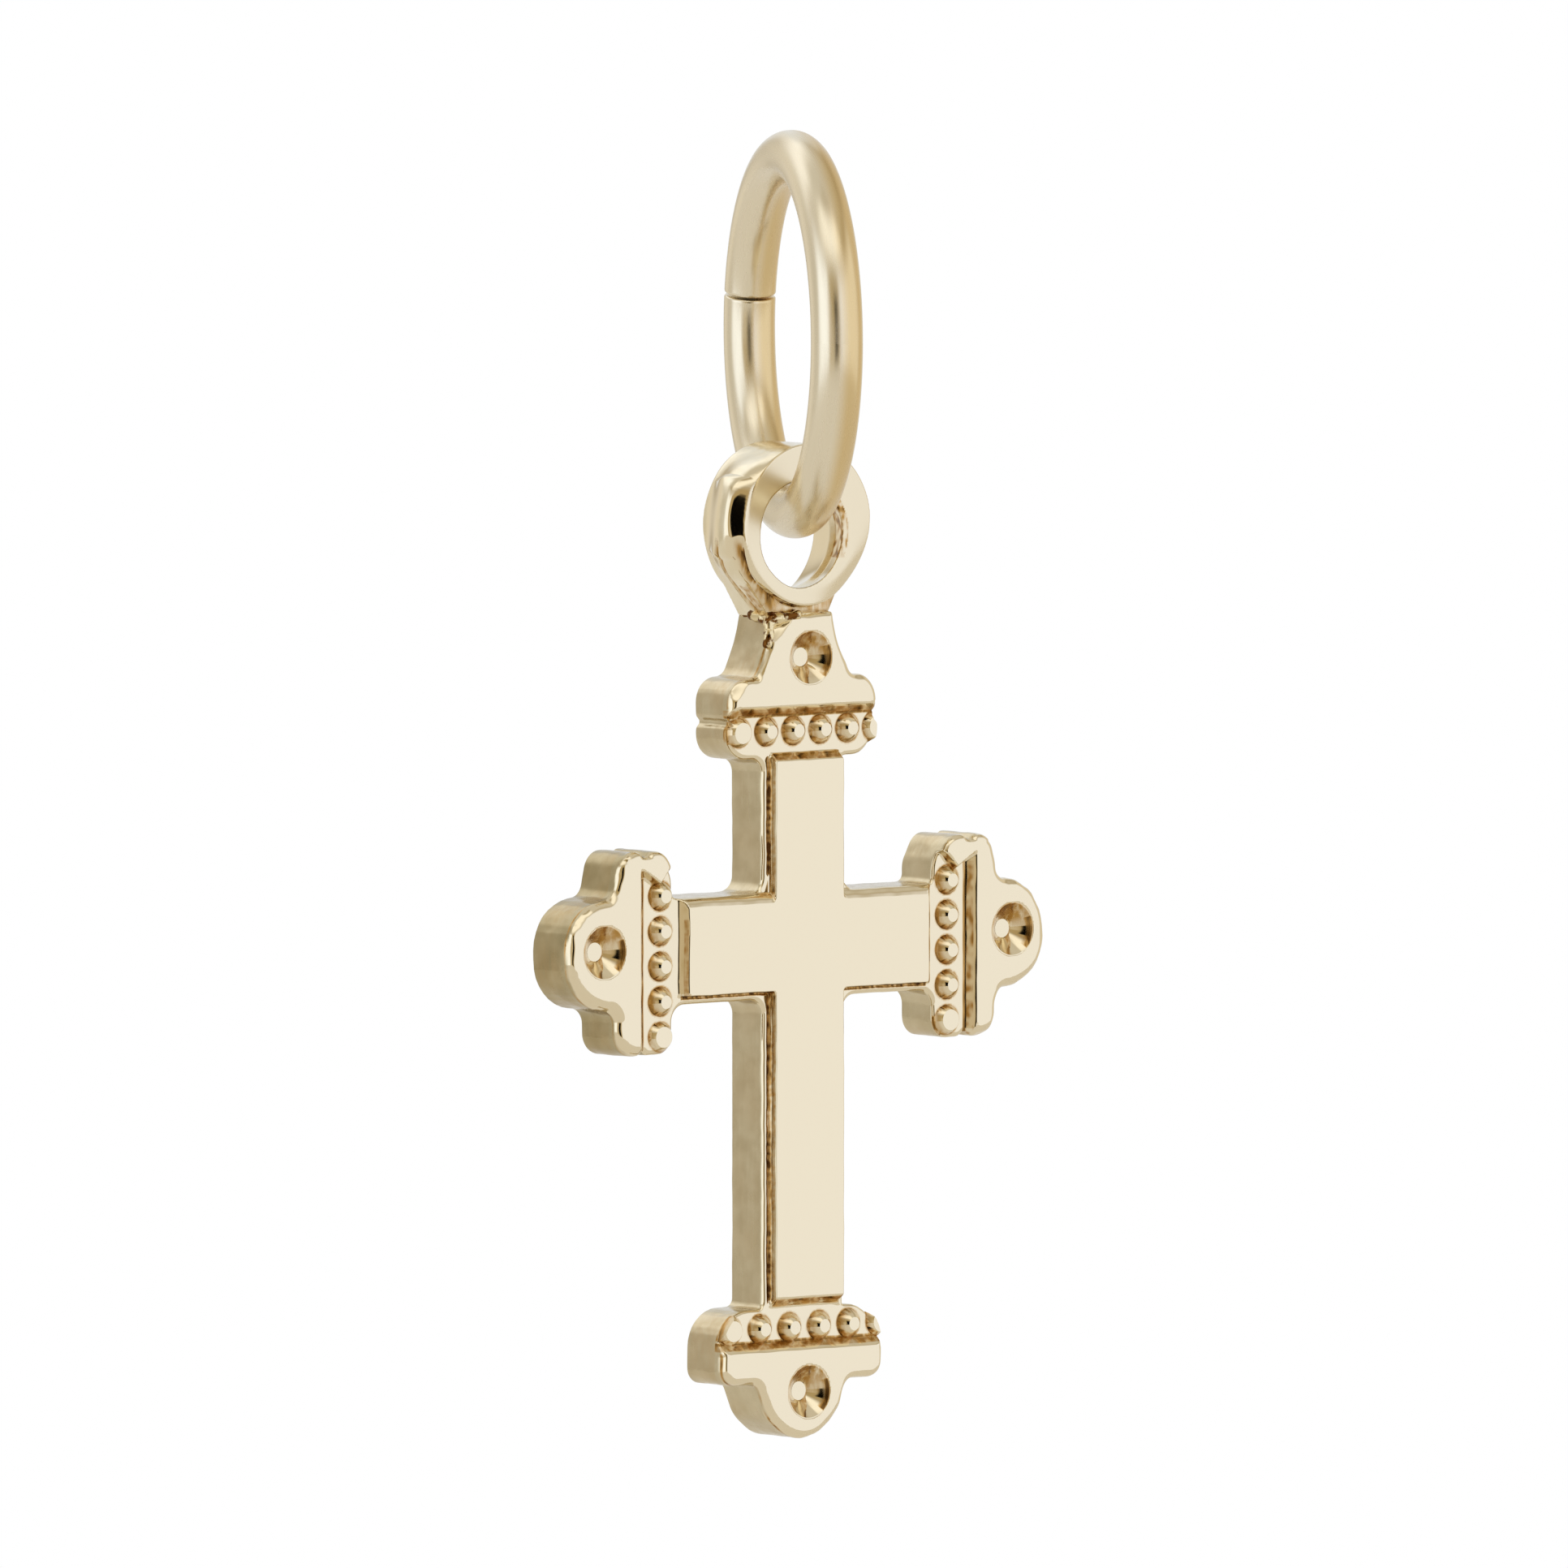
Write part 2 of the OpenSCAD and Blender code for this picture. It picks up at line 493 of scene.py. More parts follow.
@dataclass(frozen=True)
class CastGold:
    """Investment-cast 14 carat yellow gold, tumbled and then polished on a wheel.

    The wheel reaches the faces, which are mirrors with a faint wave. The walls keep a
    satin skin with fine streaks, and the recesses keep a brownish film of polish. Painted
    shade darkens the grooves and recesses further, to brown-black where most is marked.
    """

    name: str = "cast_gold"
    colour: str = "E6D7B5"
    skin: str = "D2C4A2"
    shade: str = "B5A47E"
    # Colours of the polish film with painted shade over it, and of the deep painted shade
    film_and_shade: str = "B88E4E"
    deep_film_and_shade: str = "4E3014"
    face_roughness: float = 0.07
    mirror_roughness: float = 0.07
    satin_roughness: float = 0.22
    wave_mm: float = 1.6
    wave_height_mm: float = 0.004
    streak_mm: float = 0.09
    streak_height_mm: float = 0.0012
    dent_mm: float = 0.45
    dent_height_mm: float = 0.012

    def build(self) -> bpy.types.Material:
        """Makes the material.

        Returns:
            The material.
        """
        shader = Shader(bpy.data.materials.new(self.name))
        place = shader.add("TexCoord")
        normal = shader.add("SeparateXYZ", {0: place.outputs["Normal"]})
        facing = shader.add("Math", {0: normal.outputs["Y"]}, operation="ABSOLUTE")
        # Walls are satin and faces are mirrors, told apart by the object's own normal
        wall = shader.add(
            "MapRange",
            {"Value": facing, "From Min": 0.35, "From Max": 0.1},
            interpolation_type="SMOOTHSTEP",
        )
        patterns = []
        for size_mm, squash in ((self.streak_mm, 0.12), (self.wave_mm, 1.0), (self.dent_mm, 1.0)):
            scale = (1.0, 1.0, squash)
            mapped = shader.add("Mapping", {0: place.outputs["Object"], "Scale": scale})
            links = {"Vector": mapped, "Scale": 1 / (size_mm * MM), "Detail": 2.0}
            patterns.append(shader.add("TexNoise", links))
        streak, wave, dent = patterns
        satin = shader.add(
            "MapRange",
            {
                "Value": streak,
                "From Min": 0.3,
                "From Max": 0.7,
                "To Min": self.satin_roughness * 0.75,
                "To Max": self.satin_roughness * 1.25,
            },
        )
        flat = shader.add(
            "MapRange",
            {
                "Value": facing,
                "From Min": 0.9,
                "From Max": 0.98,
                "To Min": self.mirror_roughness,
                "To Max": self.face_roughness,
            },
        )
        bright = shader.add("Mix", {0: wall, 2: flat, 3: satin}, data_type="FLOAT")
        # The film of polish and the painted shade in the grooves and recesses, marked on the mesh
        recess = shader.add("Attribute", attribute_name="film_and_shade").outputs["Fac"]
        missed = shader.add("MapRange", {"Value": recess, "From Min": 0.2, "From Max": 0.7})
        links = {0: missed, 2: bright, 3: self.satin_roughness}
        roughness = shader.add("Mix", links, data_type="FLOAT")
        patchy = shader.add("MapRange", {"Value": streak, "From Min": 0.2, "From Max": 0.55})
        held = shader.add("Math", {0: recess, 1: patchy}, operation="MULTIPLY")
        mottle = shader.add(
            "MapRange", {"Value": dent, "From Min": 0.35, "From Max": 0.65, "To Max": 0.45}
        )
        links = {0: mottle, 6: linear(self.skin), 7: linear(self.shade)}
        mottled = shader.add("Mix", links, data_type="RGBA")
        # The bare metal, then a thin film with painted shade over it, then a deep painted shade where
        # most is marked
        thin = shader.add("MapRange", {"Value": held, "From Max": 0.5})
        thick = shader.add("MapRange", {"Value": held, "From Min": 0.5})
        colour = linear(self.colour)
        for share, over in (
            (wall, mottled.outputs[2]),
            (thin, linear(self.film_and_shade)),
            (thick, linear(self.deep_film_and_shade)),
        ):
            links = {0: share, 6: colour, 7: over}
            colour = shader.add("Mix", links, data_type="RGBA").outputs[2]
        bump = None
        for strength, height_mm, pattern in (
            (wall, self.streak_height_mm, streak),
            (wall, self.dent_height_mm, dent),
            (1.0, self.wave_height_mm, wave),
        ):
            links = {"Strength": strength, "Distance": height_mm * MM, "Height": pattern}
            if bump:
                links["Normal"] = bump
            bump = shader.add("Bump", links)
        links = {"Base Color": colour, "Metallic": 1.0, "Roughness": roughness, "Normal": bump}
        shader.add("OutputMaterial", {0: shader.add("BsdfPrincipled", links)})
        return shader.owner


@dataclass(frozen=True)
class DrawnWire:
    """Drawn 14 carat gold wire, coiled, cut and tumbled to a soft satin polish."""

    name: str = "drawn_gold_wire"
    colour: str = "E8DCC0"
    warm_shade: str = "DAC08C"
    roughness: float = 0.26
    streak_mm: float = 0.12
    streak_height_mm: float = 0.0008
    drawn_mm: float = 0.4
    shade_band_mm: tuple[Point, Point] = ((0.12, -0.16), (-0.44, -0.36))

    def build(self, centre: Vector, turn: float) -> bpy.types.Material:
        """Makes the material.

        Args:
            centre: Centre of the ring, in metres.
            turn: Angle of the ring's plane from +X, in radians.

        Returns:
            The material.
        """
        shader = Shader(bpy.data.materials.new(self.name))
        place = shader.add("TexCoord")
        # Coordinates along the wire: the angle round the ring, and the place across it
        local = shader.add(
            "VectorRotate",
            {"Vector": place.outputs["Object"], "Center": centre, "Angle": -turn},
            rotation_type="Z_AXIS",
        )
        moved = shader.add("VectorMath", {0: local, 1: centre}, operation="SUBTRACT")
        axes = shader.add("SeparateXYZ", {0: moved})
        links = {0: axes.outputs["Z"], 1: axes.outputs["X"]}
        angle = shader.add("Math", links, operation="ARCTAN2")
        # The streaks are drawn out along the wire
        along = shader.add("Math", {0: angle, 1: self.drawn_mm * MM}, operation="MULTIPLY")
        radial = shader.add("VectorMath", {0: moved}, operation="LENGTH")
        links = {"X": radial.outputs["Value"], "Y": axes.outputs["Y"], "Z": along}
        across = shader.add("CombineXYZ", links)
        links = {"Vector": across, "Scale": 1 / (self.streak_mm * MM), "Detail": 3.0}
        streak = shader.add("TexNoise", links)
        # A band of painted warm shade along one flank of the wire
        sides = []
        for low, high in self.shade_band_mm:
            links = {"Value": axes.outputs["Y"], "From Min": low * MM, "From Max": high * MM}
            sides.append(shader.add("MapRange", links, interpolation_type="SMOOTHSTEP"))
        band = shader.add("Math", {0: sides[0], 1: sides[1]}, operation="MULTIPLY")
        links = {0: band, 6: linear(self.colour), 7: linear(self.warm_shade)}
        colour = shader.add("Mix", links, data_type="RGBA").outputs[2]
        roughness = shader.add(
            "MapRange",
            {
                "Value": streak,
                "From Min": 0.3,
                "From Max": 0.7,
                "To Min": self.roughness * 0.8,
                "To Max": self.roughness * 1.2,
            },
        )
        links = {"Strength": 1.0, "Distance": self.streak_height_mm * MM, "Height": streak}
        bump = shader.add("Bump", links)
        links = {"Base Color": colour, "Metallic": 1.0, "Roughness": roughness, "Normal": bump}
        shader.add("OutputMaterial", {0: shader.add("BsdfPrincipled", links)})
        return shader.owner


@dataclass(frozen=True)
class SolderSeam:
    """Hard gold solder with the brown film that flux leaves, not reached by the wheel."""

    name: str = "solder_seam"
    colour: str = "E2CFA2"
    stain: str = "6A4218"
    roughness: float = 0.16
    grain_mm: float = 0.16
    grain_height_mm: float = 0.012

    def build(self) -> bpy.types.Material:
        """Makes the material.

        Returns:
            The material.
        """
        shader = Shader(bpy.data.materials.new(self.name))
        place = shader.add("TexCoord").outputs["Object"]
        links = {"Vector": place, "Scale": 1 / (self.grain_mm * MM), "Detail": 3.0}
        grain = shader.add("TexNoise", links)
        links = {"Value": grain, "From Min": 0.53, "From Max": 0.43}
        stained = shader.add("MapRange", links, interpolation_type="SMOOTHSTEP")
        links = {0: stained, 6: linear(self.colour), 7: linear(self.stain)}
        colour = shader.add("Mix", links, data_type="RGBA").outputs[2]
        links = {"Strength": 1.0, "Distance": self.grain_height_mm * MM, "Height": grain}
        bump = shader.add("Bump", links)
        links = {"Base Color": colour, "Metallic": 1.0, "Roughness": self.roughness, "Normal": bump}
        shader.add("OutputMaterial", {0: shader.add("BsdfPrincipled", links)})
        return shader.owner


@dataclass(frozen=True)
class End:
    """One budded end, drawn along +X, then turned by some degrees and shifted into place."""

    name: str
    upper: Rows
    lower: Rows
    turn: float
    shift: Point
    band: float
    pitch: float
    row_shift: float
    face_start: float
    dimple: Point
    joint: float
    rim: float

    @property
    def at_side(self) -> bool:
        """Says whether this is the left or the right end."""
        return abs(self.dimple[0]) > 1

    def outline(self) -> list[Point]:
        """Closes the outline from its two halves, which are both drawn above the x axis."""
        corners = [(x, -y, r) for x, y, r in self.lower]
        return rounded(corners + [row for row in reversed(self.upper) if row[1] > 0])

    def along(self, point: Vector) -> float:
        """Measures how far out along the end's own axis a point lies.

        Args:
            point: A point on the bench.

        Returns:
            The distance from the middle of the cross.
        """
        turn = math.radians(self.turn)
        x, y = point.x - self.shift[0], point.y - self.shift[1]
        return x * math.cos(turn) + y * math.sin(turn)


@dataclass
class CrossCasting:
    """The cast cross: walls, ledge, raised faces, beads and dimples in one skin."""

    upright_half: float = 0.92
    bar_half: float = 0.94
    ledge: float = 0.87
    face: float = 1.05
    face_half: float = 0.78
    crotch: float = 0.28
    bar_drop: float = -0.07
    top_lean: float = -0.08
    foot_lean: float = -0.13
    side_face: float = 2.75
    top_face: float = 3.20
    foot_face: float = 6.29
    channel_run: float = 0.145
    bead_foot: float = 0.265
    beads: int = 6
    dimple_rim: float = 0.46
    dimple_floor: float = 0.165
    dimple_depth: float = 0.3
    ledge_rim: float = 0.08
    groove: float = 0.035
    groove_run: float = 0.07
    wobble: float = 0.03
    voxel: float = 0.025
    passes: int = 2
    wall_reach: Row = (2.5, 3.3, 6.55)
    under: float = -0.1
    core: float = 0.5
    overrun: float = 0.5
    face_crotch: float = 0.08
    plate_back: float = 0.03
    rim_steps: int = 5
    lip_rim: float = 0.22
    cap_rim: float = 0.13
    cap_tip: Point = (3.42, 1.24)
    cap_leans: Point = (-1.1, 0.62)
    cap_slope: float = 0.35
    filed_top: float = 0.12
    bead_steps: int = 48
    dimple_steps: int = 96
    # Where the ends' walls begin at the side, top and foot, and the bar's upper edge
    ends_from: Row = (3.05, 3.25, 6.5)
    upper_edge: Point = (0.5, 1.2)
    # Film of polish on the walls of ends and arms; film with painted shade at the channels' root, its
    # least and mottled share on the channel walls, and a painted dark line on the rims
    film_walls: Point = (0.12, 0.06)
    root_film_and_shade: float = 0.75
    side_film_and_shade: Point = (-0.16, 0.75)
    upright_film_and_shade: Point = (0.2, 0.4)
    painted_rim_shade: Point = (0.45, 0.9)
    recess_from: float = 0.75
    clean_skin: float = 0.015

    def ends(self) -> list[End]:
        """Lists the four budded ends.

        Returns:
            Right, left, top and bottom end.
        """
        root = (2.30, self.bar_half, 0.0)
        notch = ((3.60, 1.80, 0.12), (3.73, 1.68, 0.08), (3.86, 1.80, 0.12))
        tip = (5.465, 0.885, 0.88)
        over = (
            root, (3.00, self.bar_half, 0.14), (3.00, 1.30, 0.55), (3.28, 1.80, 0.36),
            *notch, (4.24, 1.80, 0.36), (4.42, 1.00, 0.26), tip,
        )
        under = (
            root, (3.00, self.bar_half, 0.30), (3.00, 1.80, 0.34),
            *notch, (4.36, 1.80, 0.40), (4.36, 0.99, 0.26), tip,
        )
        half = self.upright_half + self.top_lean
        top = (
            (2.80, half, 0.0), (3.23, half, 0.26), (3.23, 1.67, 0.46), (3.79, 1.67, 0.10),
            (3.89, 1.55, 0.07), (3.99, 1.67, 0.10), (4.67, 1.67, 0.43), (4.67, 1.06, 0.24),
            (5.25, 0.80, 1.20), (5.80, 0.66, 0.0),
        )
        half = self.upright_half + self.foot_lean
        foot = (
            (5.90, half, 0.0), (6.48, half, 0.14), (6.48, 1.82, 0.66), (7.79, 1.82, 0.28),
            (7.79, 1.03, 0.20), (8.40, 0.78, 0.75), (9.00, 0.0, 0.82),
        )
        side = {"shift": (0.0, self.bar_drop), "band": 3.3, "pitch": 0.62, "row_shift": 0.0}
        side |= {"face_start": 3.85, "joint": 2.88, "rim": 0.19}
        return [
            End("right", over, under, turn=0, dimple=(4.69, 0.0), **side),
            End("left", under, over, turn=180, dimple=(-4.69, 0.0), **side),
            End(
                "top", top, top, turn=90, shift=(self.top_lean, 0.0), band=3.72, pitch=0.62,
                row_shift=0.06, face_start=4.15, dimple=(0.02, 5.0), joint=3.31, rim=0.17,
            ),
            End(
                "foot", foot, foot, turn=-90, shift=(self.foot_lean, 0.0), band=6.82, pitch=0.68,
                row_shift=0.0, face_start=7.20, dimple=(-0.02, -7.97), joint=6.42, rim=0.13,
            ),
        ]

    def plus(self, half_x: float, half_y: float, reach: Row, radius: float) -> list[Point]:
        """Outlines the crossing arms.

        Args:
            half_x: Half width of the upright.
            half_y: Half height of the bar.
            reach: How far the side, top and bottom arms run.
            radius: Rounding where two arms meet.

        Returns:
            Points round the outline.
        """
        side, up, down = reach
        top = half_y + self.bar_drop
        low = -half_y + self.bar_drop
        corners = [
            (side, low, 0.0), (side, top, 0.0), (half_x, top, radius), (half_x, up, 0.0),
            (-half_x, up, 0.0), (-half_x, top, radius), (-side, top, 0.0), (-side, low, 0.0),
            (-half_x, low, radius), (-half_x, -down, 0.0), (half_x, -down, 0.0), (half_x, low, radius),
        ]
        return rounded(corners)

    def walls(self) -> Obj:
        """Raises the arms from the back to the ledge.

        Returns:
            The prism of the arms.
        """
        outline = self.plus(self.upright_half, self.bar_half, self.wall_reach, self.crotch)
        arms = Bench.prism("arms", outline, self.under, self.ledge)
        Bench.soften(arms, at_front, self.ledge_rim)
        return arms

    def raised_arms(self) -> list[Obj]:
        """Raises the face of the arms, its tips slanted towards the channels.

        Returns:
            The raised face and its lip.
        """
        more = self.overrun
        reach = (self.side_face + more, self.top_face + more, self.foot_face + more)
        outline = self.plus(self.face_half, self.face_half, reach, self.face_crotch)
        face = Bench.prism("raised", outline, self.core, self.face)
        lip = self.upper_lip()
        rise = self.face - self.ledge
        for x, y, start in (
            (1, 0, self.side_face),
            (-1, 0, self.side_face),
            (0, 1, self.top_face),
            (0, -1, self.foot_face),
        ):
            edge = (x * start, y * start, self.face)
            away = Vector((x * rise, y * rise, self.channel_run))
            Bench.slice(face, edge, away)
            if x:
                Bench.slice(lip, edge, away)
        return [face, lip]

    def upper_lip(self) -> Obj:
        """Rolls the face of the bar over its upper edge, where the wheel took the ledge away.

        Returns:
            The lip.
        """
        far = self.side_face + self.overrun
        top = self.bar_half + self.bar_drop
        corners = [(-far, 0.0), (far, 0.0), (far, top), (-far, top)]
        lip = Bench.prism("lip", corners, self.core, self.face)
        Bench.soften(lip, at_front, self.lip_rim, self.rim_steps)
        return lip

    def bead_centres(self, end: End) -> list[Point]:
        """Lists where the beads of an end stand.

        Args:
            end: The end.

        Returns:
            Centres on the bench.
        """
        turn = math.radians(end.turn)
        middles = []
        for i in range(self.beads):
            across = (i - (self.beads - 1) / 2) * end.pitch
            x = end.band * math.cos(turn) - across * math.sin(turn) + end.row_shift
            y = end.band * math.sin(turn) + across * math.cos(turn)
            middles.append((x, y))
        return middles

    def filed_down(self, i: int) -> bool:
        """Says whether a row's bead of this number is filed down: the first and the last."""
        return i in (0, self.beads - 1)

    def bead_top(self, i: int) -> float:
        """Gives the level of the flat top of a row's bead of this number."""
        return self.ledge + self.filed_top if self.filed_down(i) else self.face

    def beads_of(self, end: End) -> Obj:
        """Sets a row of beads in an end's channel, trimmed by its outline.

        Args:
            end: The end.

        Returns:
            The row of beads.
        """
        low = self.ledge
        parts = []
        for i, (x, y) in enumerate(self.bead_centres(end)):
            # The cap closes the top of a side end's channel, so no bead stands there
            if end.at_side and y > self.cap_tip[1]:
                continue
            rows = [(self.bead_foot + 0.04, low - 0.06), (self.bead_foot, low)]
            if self.filed_down(i):
                rows += [(0.208, low + 0.095), (0.185, low + self.filed_top)]
            else:
                rows += [(0.205, low + 0.09), (0.168, low + 0.138), (0.118, self.face)]
            bead = Bench.lathe("bead", rows, self.bead_steps)
            parts.append(Bench.turn(bead, 0, (x, y)))
        row = Bench.join("beads", parts)
        trim = Bench.prism("trim", end.outline(), 0.3, 1.4)
        Bench.combine(row, Bench.turn(trim, end.turn, end.shift), Cut.INSIDE)
        return row

    def cap_of(self, end: End) -> Obj:
        """Closes the channel at the top of a side end, down to a blunt point.

        Args:
            end: The end.

        Returns:
            The cap.
        """
        cap = Bench.prism("cap", end.outline(), self.core, self.face)
        Bench.soften(cap, at_front, self.cap_rim, self.rim_steps)
        Bench.turn(cap, end.turn, end.shift)
        way = math.copysign(1, end.dimple[0])
        tip = (way * self.cap_tip[0], self.cap_tip[1] + self.bar_drop, self.face)
        for lean in self.cap_leans:
            Bench.slice(cap, tip, Vector((way * lean, -1.0, self.cap_slope)))
        return cap

    def dimple_cutter(self, end: End) -> Obj:
        """Makes the drill for the seat of an end's dimple.

        Args:
            end: The end.

        Returns:
            The cutter.
        """
        tall = 0.6
        bottom = self.face - self.dimple_depth - 0.04
        bpy.ops.object.select_all(action="DESELECT")
        bpy.ops.mesh.primitive_cylinder_add(
            vertices=self.dimple_steps,
            radius=self.dimple_rim + 0.015,
            depth=tall,
            location=(*end.dimple, bottom + tall / 2),
        )
        return bpy.context.active_object

    def build_dimples(self) -> Obj:
        """Models the four cone-shaped dimples, each with a flat floor.

        Returns:
            The finished piece, still on the bench.
        """
        top = self.face - 0.008
        rim, floor, deep = self.dimple_rim, self.dimple_floor, self.face - self.dimple_depth
        rows = [
            (rim + 0.10, deep - 0.08),
            (rim + 0.10, top - 0.03),
            (rim + 0.04, top),
            (rim, top),
            (rim - 0.035, top - 0.035),
            (rim - 0.10, top - 0.095),
            (floor + 0.02, deep + 0.03),
            (floor, deep),
        ]
        cups = []
        for end in self.ends():
            cups.append(Bench.turn(Bench.lathe("dimple", rows, self.dimple_steps), 0, end.dimple))
        obj = Bench.join("dimples", cups)
        Bench.mark(obj, "film_and_shade", self.painted_shade_in_dimple)
        Bench.shade(obj)
        return obj

    def painted_shade_in_dimple(self, point: Vector) -> float:
        """Paints shade in a dimple: most above, and a dark painted reflection along the rim at the
        right.

        Args:
            point: A point on the bench.

        Returns:
            0 for clean metal, 1 for the darkest.
        """
        for end in self.ends():
            x, y = point.x - end.dimple[0], point.y - end.dimple[1]
            away = math.hypot(x, y)
            if away > self.dimple_rim + 0.2:
                continue
            if away < self.dimple_floor + 0.01 or away > self.dimple_rim + 0.01:
                return 0.0
            lean = math.atan2(y, x)
            # A painted dark reflection along the rim at the right
            if away > self.dimple_rim - 0.05 and -0.8 < lean < 0.5:
                return 0.9
            patch = noise.noise(point * 6)
            return min(0.7, max(0.0, 0.24 + 0.3 * math.cos(lean - 1.9) + 0.35 * patch))
        return 0.0

    def end_solids(self, end: End) -> list[Obj]:
        """Raises one end: its walls, its raised face and, at the side, its cap.

        Args:
            end: The end.

        Returns:
            The overlapping solids.
        """
        base = Bench.prism(end.name + "_base", end.outline(), self.under, self.ledge)
        Bench.soften(base, at_front, self.ledge_rim)
        plate = Bench.prism(end.name + "_plate", end.outline(), self.plate_back, self.face)
        Bench.soften(plate, at_front, end.rim, self.rim_steps)
        away = Vector((self.ledge - self.face, 0.0, self.channel_run + 0.02))
        Bench.slice(plate, (end.face_start + 0.02, 0.0, self.face), away)
        for part in (base, plate):
            Bench.turn(part, end.turn, end.shift)
            Bench.combine(part, self.dimple_cutter(end), Cut.OUTSIDE)
        if end.name == "top":
            # The wheel has taken off the corner beside the loop
            Bench.slice(plate, (-0.30, 5.80, self.face), Vector((-0.52, 0.46, 0.72)))
        return [base, plate, self.cap_of(end)] if end.at_side else [base, plate]

    def from_raised(self, point: Vector) -> float:
        """Measures how far a point lies outside the raised face of the arms.

        Args:
            point: A point on the bench.

        Returns:
            The distance, negative inside.
        """
        middle = (self.top_face - self.foot_face) / 2
        tall = (self.top_face + self.foot_face) / 2
        half = self.face_half
        upright = max(abs(point.x) - half, abs(point.y - middle) - tall)
        bar = max(abs(point.y - self.bar_drop) - half, abs(point.x) - self.side_face)
        return min(upright, bar)

    def carve(self, point: Vector) -> Vector:
        """Wobbles the skin and its rims, and sinks the groove beside the raised face.

        Args:
            point: A point on the bench.

        Returns:
            Its move.
        """
        wave = noise.noise_vector(point * 2.2) * 0.010 + noise.noise_vector(point * 5.0) * 0.004
        wave.z = 0.0
        share = (point.z - self.ledge + 0.03) / (self.face - self.ledge + 0.03)
        if 0 < share < 1 and self.on_rim(point):
            lump = noise.noise_vector(point * 3.1 + Vector((0, 7, 0)))
            wave += lump * self.wobble * math.sin(math.pi * share)
        out = self.from_raised(point)
        near = 0.0 < out < self.groove_run and 0.6 < point.z < self.ledge + 0.06
        sink = 0.0
        if near and self.grooved(point):
            chatter = 0.75 + 0.5 * noise.noise(Vector((point.x * 9, point.y * 9, 0)))
            sink = -self.groove * chatter * math.sin(math.pi * out / self.groove_run) ** 2
        return wave + Vector((0, 0, sink))

    def on_rim(self, point: Vector) -> bool:
        """Says whether a point belongs to the rim of an end's raised face.

        Args:
            point: A point on the bench.

        Returns:
            True past the channels, outside the dimples.
        """
        for end in self.ends():
            if end.along(point) > end.face_start + 0.06:
                x, y = point.x - end.dimple[0], point.y - end.dimple[1]
                return math.hypot(x, y) > self.dimple_rim + 0.03
        return False

    def grooved(self, point: Vector) -> bool:
        """Says whether a groove runs by a point: not along the upper edge of the bar."""
        low, high = self.upper_edge
        return not (abs(point.x) > self.face_half + 0.02 and low < point.y < high)

    def film_and_shade(self, point: Vector) -> float:
        """Says how much polishing film and painted shade a point holds.

        Args:
            point: A point on the bench.

        Returns:
            0 for clean metal, 1 for the bottom of a recess.
        """
        if point.z > self.face - self.clean_skin:
            return 0.0
        if point.z < self.recess_from:
            return self.film_on_wall(point)
        out = self.from_raised(point)
        held = 0.0
        # Painted shade with some polish film in the groove beside the raised face, darkest under the
        # bar and nearest the face
        if self.grooved(point) and -0.03 < out < 0.075:
            under_bar = abs(point.x) > self.face_half + 0.04 and point.y < 0
            grain = 0.5 + noise.noise(point * 14)
            if point.z > self.ledge + 0.035:
                held = 0.12 + 0.35 * grain
            elif under_bar or out < 0.045:
                held = 0.62 + 0.5 * grain
        for end in self.ends():
            if abs(point.x - end.dimple[0]) + abs(point.y - end.dimple[1]) > 4:
                continue
            held = max(held, self.film_and_shade_in(end, point))
        return held

    def film_on_wall(self, point: Vector) -> float:
        """Says how much film the walls hold, more on the ends than on the arms.

        Args:
            point: A point on the bench.

        Returns:
            A small share.
        """
        side, up, down = self.ends_from
        on_end = max(abs(point.x) - side, point.y - up, -down - point.y) > 0
        patch = 0.5 + noise.noise(point * 1.7)
        share = self.film_walls[0] if on_end else self.film_walls[1]
        return min(1.0, point.z / 0.1) * share * clamp(patch)

    def film_and_shade_in(self, end: End, point: Vector) -> float:
        """Says how much film and painted shade a point of one end holds.

        Args:
            end: The end.
            point: A point on the bench.

        Returns:
            0 for clean metal, 1 for the bottom of a recess.
        """
        if end.at_side and point.y > self.cap_tip[1]:
            return 0.0
        along = end.along(point)
        held = 0.0
        lower = end.face_start - self.channel_run
        # Film with painted shade at the root of the channel, mottled up its wall
        if lower - 0.02 < along < end.face_start - 0.03:
            mottle = 0.5 + noise.noise(point * 8)
            least, more = self.side_film_and_shade if end.at_side else self.upright_film_and_shade
            held = self.root_film_and_shade if along < lower + 0.02 else least + more * mottle
        left_or_low = point.x < end.dimple[0] or point.y < end.dimple[1]
        # A painted dark line along the left and lower rim of the raised face
        if along > end.face_start and left_or_low and abs(point.z - self.face + end.rim) < 0.02:
            held = max(0.0, self.painted_rim_shade[0] + self.painted_rim_shade[1] * noise.noise(point * 2.6))
        # Painted shade round the feet of the beads
        for x, y in self.bead_centres(end):
            near = math.hypot(point.x - x, point.y - y) - self.bead_foot
            if near < 0.025:
                held = max(held, min(0.6, (0.03 - near) / 0.05))
        return held

    def build(self) -> list[Obj]:
        """Models the whole casting as one skin and parts it where the ends begin.

        Returns:
            The arms and the four ends, still on the bench.
        """
        parts = [self.walls(), *self.raised_arms()]
        for end in self.ends():
            parts.extend(self.end_solids(end))
        arms = Bench.join("cross_arms", parts)
        Bench.melt(arms, self.voxel)
        Bench.mark(arms, "film_and_shade", self.film_and_shade)
        Bench.sculpt(arms, self.carve)
        Bench.polish(arms, self.passes)
        Bench.cut_flat(arms, Vector((0, 0, 0)), Vector((0, 0, -1)))
        pieces = [arms]
        for end in self.ends():
            turn = math.radians(end.turn)
            way = Vector((round(math.cos(turn)), round(math.sin(turn)), 0))
            piece = Bench.copy(arms, end.name + "_end")
            Bench.cut_flat(piece, way * end.joint, -way)
            Bench.cut_flat(arms, way * end.joint, way)
            pieces.append(piece)
        return pieces

